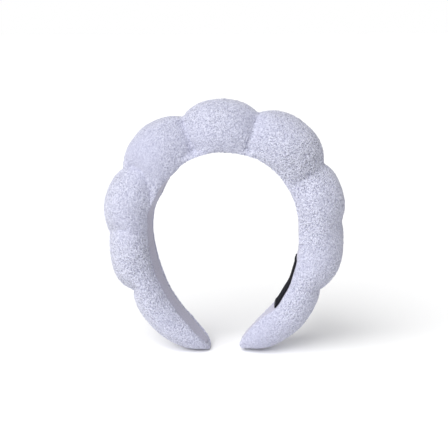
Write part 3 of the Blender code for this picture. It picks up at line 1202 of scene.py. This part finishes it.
def make_sponges():
    for place, (start, end, *_) in enumerate(PUFFS, start=-len(LEFT_GATHERS)):
        if place == 0:
            make_sponge("foam_crown", "sponge_crown", start, end, "crown", None)
            continue
        word, hinge = ARMS[0] if place < 0 else ARMS[1]
        number = abs(place)
        make_sponge(f"foam_{word}_{number}", f"sponge_{word}_{number}", start, end,
                    word + "_arm", hinge if number == 1 else None)


make_sponges()


# ---- the label ----

LABEL_THICKNESS = 0.0006
LABEL_FOLD = 0.0035
LABEL_FOLD_RISE = 0.0003  # how much thicker the tape is where it is folded under
LABEL_LIFT = 0.00015  # gap between the tape and the lining
LABEL_ENDS = (0.0, 0.0002, 0.0005, 0.0018, LABEL_FOLD, LABEL_FOLD + 0.0003)
LABEL_MIDDLE = 0.006  # from here on the sections are evenly spread
LABEL_PITCH = 0.0025
LABEL_ROUNDING = 0.0004
LABEL_EDGE = 0.35  # share of the thickness at the side edges
LABEL_GRAIN = (0.00005, 0.003)  # depth, size
LABEL_ROW_INSETS = (0.002, 0.0015)  # of a stitch row, from the label's end and sides
LABEL_ROW_STITCHES = (0.0027, 0.0019)  # pitch, length
LABEL_ROW_RADIUS = 0.00022
LABEL_ROW_PROUD = 0.00012  # how far the stitches stand out of the tape
LABEL_ROW_DIP = 0.7  # share of a stitch's usual dip


def lining_rise(run, side):
    """Rise of the lining's wearer side."""
    share = side / lining_half_width(run)
    return -LINING_BULGE * (1.0 - share * share)


def label_ring(run):
    """Flat woven tape with rounded edges, doubled where its ends are folded under."""
    first, last = LABEL_RUNS
    from_end = min(run - first, last - run)
    doubled = LABEL_FOLD_RISE if from_end < LABEL_FOLD else 0.0
    into_end = 1.0 - min(1.0, from_end / LABEL_ROUNDING)
    rounded = math.sqrt(max(0.05, 1.0 - into_end ** 2))
    thick = (LABEL_THICKNESS + doubled) * rounded
    half = LABEL_HALF_WIDTH
    shares = (-1.0, -0.97, -0.6, -0.2, 0.2, 0.6, 0.97, 1.0)
    wearer = []
    lining = []
    for share in shares:
        side = half * share
        edge = LABEL_EDGE if abs(share) == 1.0 else 1.0
        base = lining_rise(run, side) - LABEL_LIFT
        wearer.append((base - thick * (0.5 + 0.5 * edge), side))
        lining.append((base - thick * (0.5 - 0.5 * edge), side))
    return wearer + lining[::-1]


def make_label():
    first, last = LABEL_RUNS
    runs = [first + end for end in LABEL_ENDS]
    runs += spread_runs(first + LABEL_MIDDLE, last - LABEL_MIDDLE, LABEL_PITCH)
    runs += [last - end for end in reversed(LABEL_ENDS)]
    rings = [label_ring(run) for run in runs]
    label = new_piece("label_tape", ring_mesh("label_tape", runs, rings))
    subdivide(label, 2)
    roughen(label.data, *LABEL_GRAIN, 4.0)
    finish_piece(label, LABEL_WEAVE)
    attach(label, "right_arm")
    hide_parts("woven_label")
    from_end, from_side = LABEL_ROW_INSETS
    for word, run in (("upper", first + from_end), ("lower", last - from_end)):
        def across(side, dip):
            rise = lining_rise(run, side) - LABEL_LIFT - LABEL_THICKNESS - LABEL_FOLD_RISE
            return band_point(run, rise - LABEL_ROW_PROUD + LABEL_ROW_DIP * dip, side)

        reach = LABEL_HALF_WIDTH - from_side
        paths = stitch_run_paths(-reach, reach, *LABEL_ROW_STITCHES, across)
        name = "label_stitch_" + word
        piece = thread_piece(name + "_row", paths, LABEL_ROW_RADIUS, LABEL_THREAD)
        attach(piece, "right_arm")
        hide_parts(name)


make_label()


# ---- floor, light, camera ----

FLOOR_REACH = 3.0
FLOOR_GAP = 0.0002


def make_floor():
    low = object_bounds()[0]
    mesh = bpy.data.meshes.new("floor")
    corners = [(x * FLOOR_REACH, y * FLOOR_REACH, 0.0)
               for x, y in ((-1, -1), (1, -1), (1, 1), (-1, 1))]
    mesh.from_pydata(corners, [], [(0, 1, 2, 3)])
    mesh.materials.append(floor_material())
    floor = new_piece("floor", mesh)
    floor.location.z = low[2] - FLOOR_GAP


# Name, strength and the way the light travels
SOFT_LIGHTS = (
    ("soft_key", 3.1, (0.50, 0.75, -0.84)),
    ("soft_back", 1.1, (0.15, -1.0, -0.20)),
)
LIGHT_SPREAD = math.radians(60.0)
FILL_STRENGTH = 0.375


def make_light():
    """A white studio: even fill, a soft light from the upper left, a weaker one behind."""
    world = bpy.data.worlds.new("white_studio")
    world.use_nodes = True
    tree = world.node_tree
    fill = tree.nodes["Background"]
    fill.inputs["Color"].default_value = (1.0, 1.0, 1.0, 1.0)
    fill.inputs["Strength"].default_value = FILL_STRENGTH
    backdrop = add_node(tree, "ShaderNodeBackground", Color=(1.0, 1.0, 1.0, 1.0), Strength=1.0)
    seen = add_node(tree, "ShaderNodeLightPath").outputs["Is Camera Ray"]
    mixed = add_node(tree, "ShaderNodeMixShader")
    for source, socket in zip((seen, fill.outputs[0], backdrop.outputs[0]), mixed.inputs):
        tree.links.new(source, socket)
    tree.links.new(mixed.outputs[0], tree.nodes["World Output"].inputs["Surface"])
    bpy.context.scene.world = world
    bpy.context.scene.view_settings.view_transform = "Standard"
    for name, energy, heading in SOFT_LIGHTS:
        data = bpy.data.lights.new(name, "SUN")
        data.energy = energy
        data.angle = LIGHT_SPREAD
        lamp = new_piece(name, data)
        lamp.rotation_euler = Vector(heading).to_track_quat("-Z", "Y").to_euler()


CAMERA_TARGET = Vector((0.0, 0.0, -0.0595))
CAMERA_DISTANCE = 0.8
CAMERA_AZIMUTH = math.radians(4.0)
CAMERA_ELEVATION = math.radians(14.7)
CAMERA_ROLL = math.radians(-0.55)
CAMERA_SENSOR = 36.0
CAMERA_LENS = 86.0
# To the photograph's framing, in widths of its 448 by 448 picture
CAMERA_SHIFT = (-1.0 / 448.0, 2.8 / 448.0)


def make_camera():
    data = bpy.data.cameras.new("camera")
    data.sensor_width = CAMERA_SENSOR
    data.lens = CAMERA_LENS
    data.shift_x, data.shift_y = CAMERA_SHIFT
    camera = new_piece("camera", data)
    away = Vector((math.sin(CAMERA_AZIMUTH) * math.cos(CAMERA_ELEVATION),
                   -math.cos(CAMERA_AZIMUTH) * math.cos(CAMERA_ELEVATION),
                   math.sin(CAMERA_ELEVATION)))
    camera.location = CAMERA_TARGET + away * CAMERA_DISTANCE
    turn = (-away).to_track_quat("-Z", "Y").to_matrix().to_4x4()
    camera.rotation_euler = (turn @ Matrix.Rotation(CAMERA_ROLL, 4, "Z")).to_euler()
    bpy.context.scene.camera = camera


make_floor()
make_light()
make_camera()
